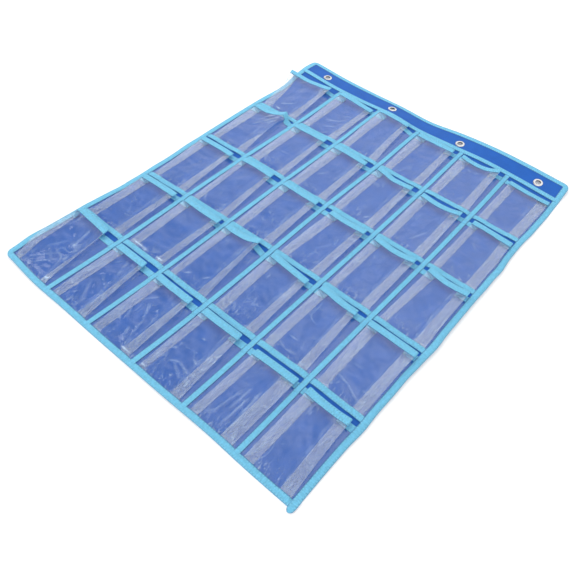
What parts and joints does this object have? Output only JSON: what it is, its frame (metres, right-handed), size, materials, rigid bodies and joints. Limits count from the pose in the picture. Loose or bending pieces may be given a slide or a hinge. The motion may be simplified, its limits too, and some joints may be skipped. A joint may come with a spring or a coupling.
{
  "type": "hanging phone organizer",
  "caption": "Cloth sheet with rows of clear pleated pockets, taped seams and a grommeted header, that hangs on a wall and holds one phone in each pocket.",
  "frame": {"origin": "on the surface that the sheet lies on, under the middle of its outline", "axes": "+X along the rows, +Y to the header that hangs at the top, +Z out of the front with the pockets"},
  "size_m": [0.65, 0.865, 0.0112],
  "materials": {
    "blue_cloth": "matt plain-woven polyester",
    "tape": "ribbed woven binding tape",
    "clear_film": "clear soft vinyl, glossy",
    "grommet_metal": "polished nickel plate"
  },
  "bodies": {
    "root": {"back_panel": "blue_cloth", "header_band": "blue_cloth", "edge_binding": "tape", "header_tape": "tape", "row_tape_1": "tape", "row_tape_2": "tape", "row_tape_3": "tape", "row_tape_4": "tape", "column_tape_1": "tape", "column_tape_2": "tape", "column_tape_3": "tape", "column_tape_4": "tape", "column_tape_5": "tape", "pocket_strip_1": "clear_film", "pocket_strip_2": "clear_film", "pocket_strip_3": "clear_film", "pocket_strip_4": "clear_film", "pocket_strip_5": "clear_film", "mouth_binding_1": "tape", "mouth_binding_2": "tape", "mouth_binding_3": "tape", "mouth_binding_4": "tape", "mouth_binding_5": "tape", "grommet_1_eyelet": "grommet_metal", "grommet_1_washer": "grommet_metal", "grommet_2_eyelet": "grommet_metal", "grommet_2_washer": "grommet_metal", "grommet_3_eyelet": "grommet_metal", "grommet_3_washer": "grommet_metal", "grommet_4_eyelet": "grommet_metal", "grommet_4_washer": "grommet_metal"}
  },
  "joints": []
}
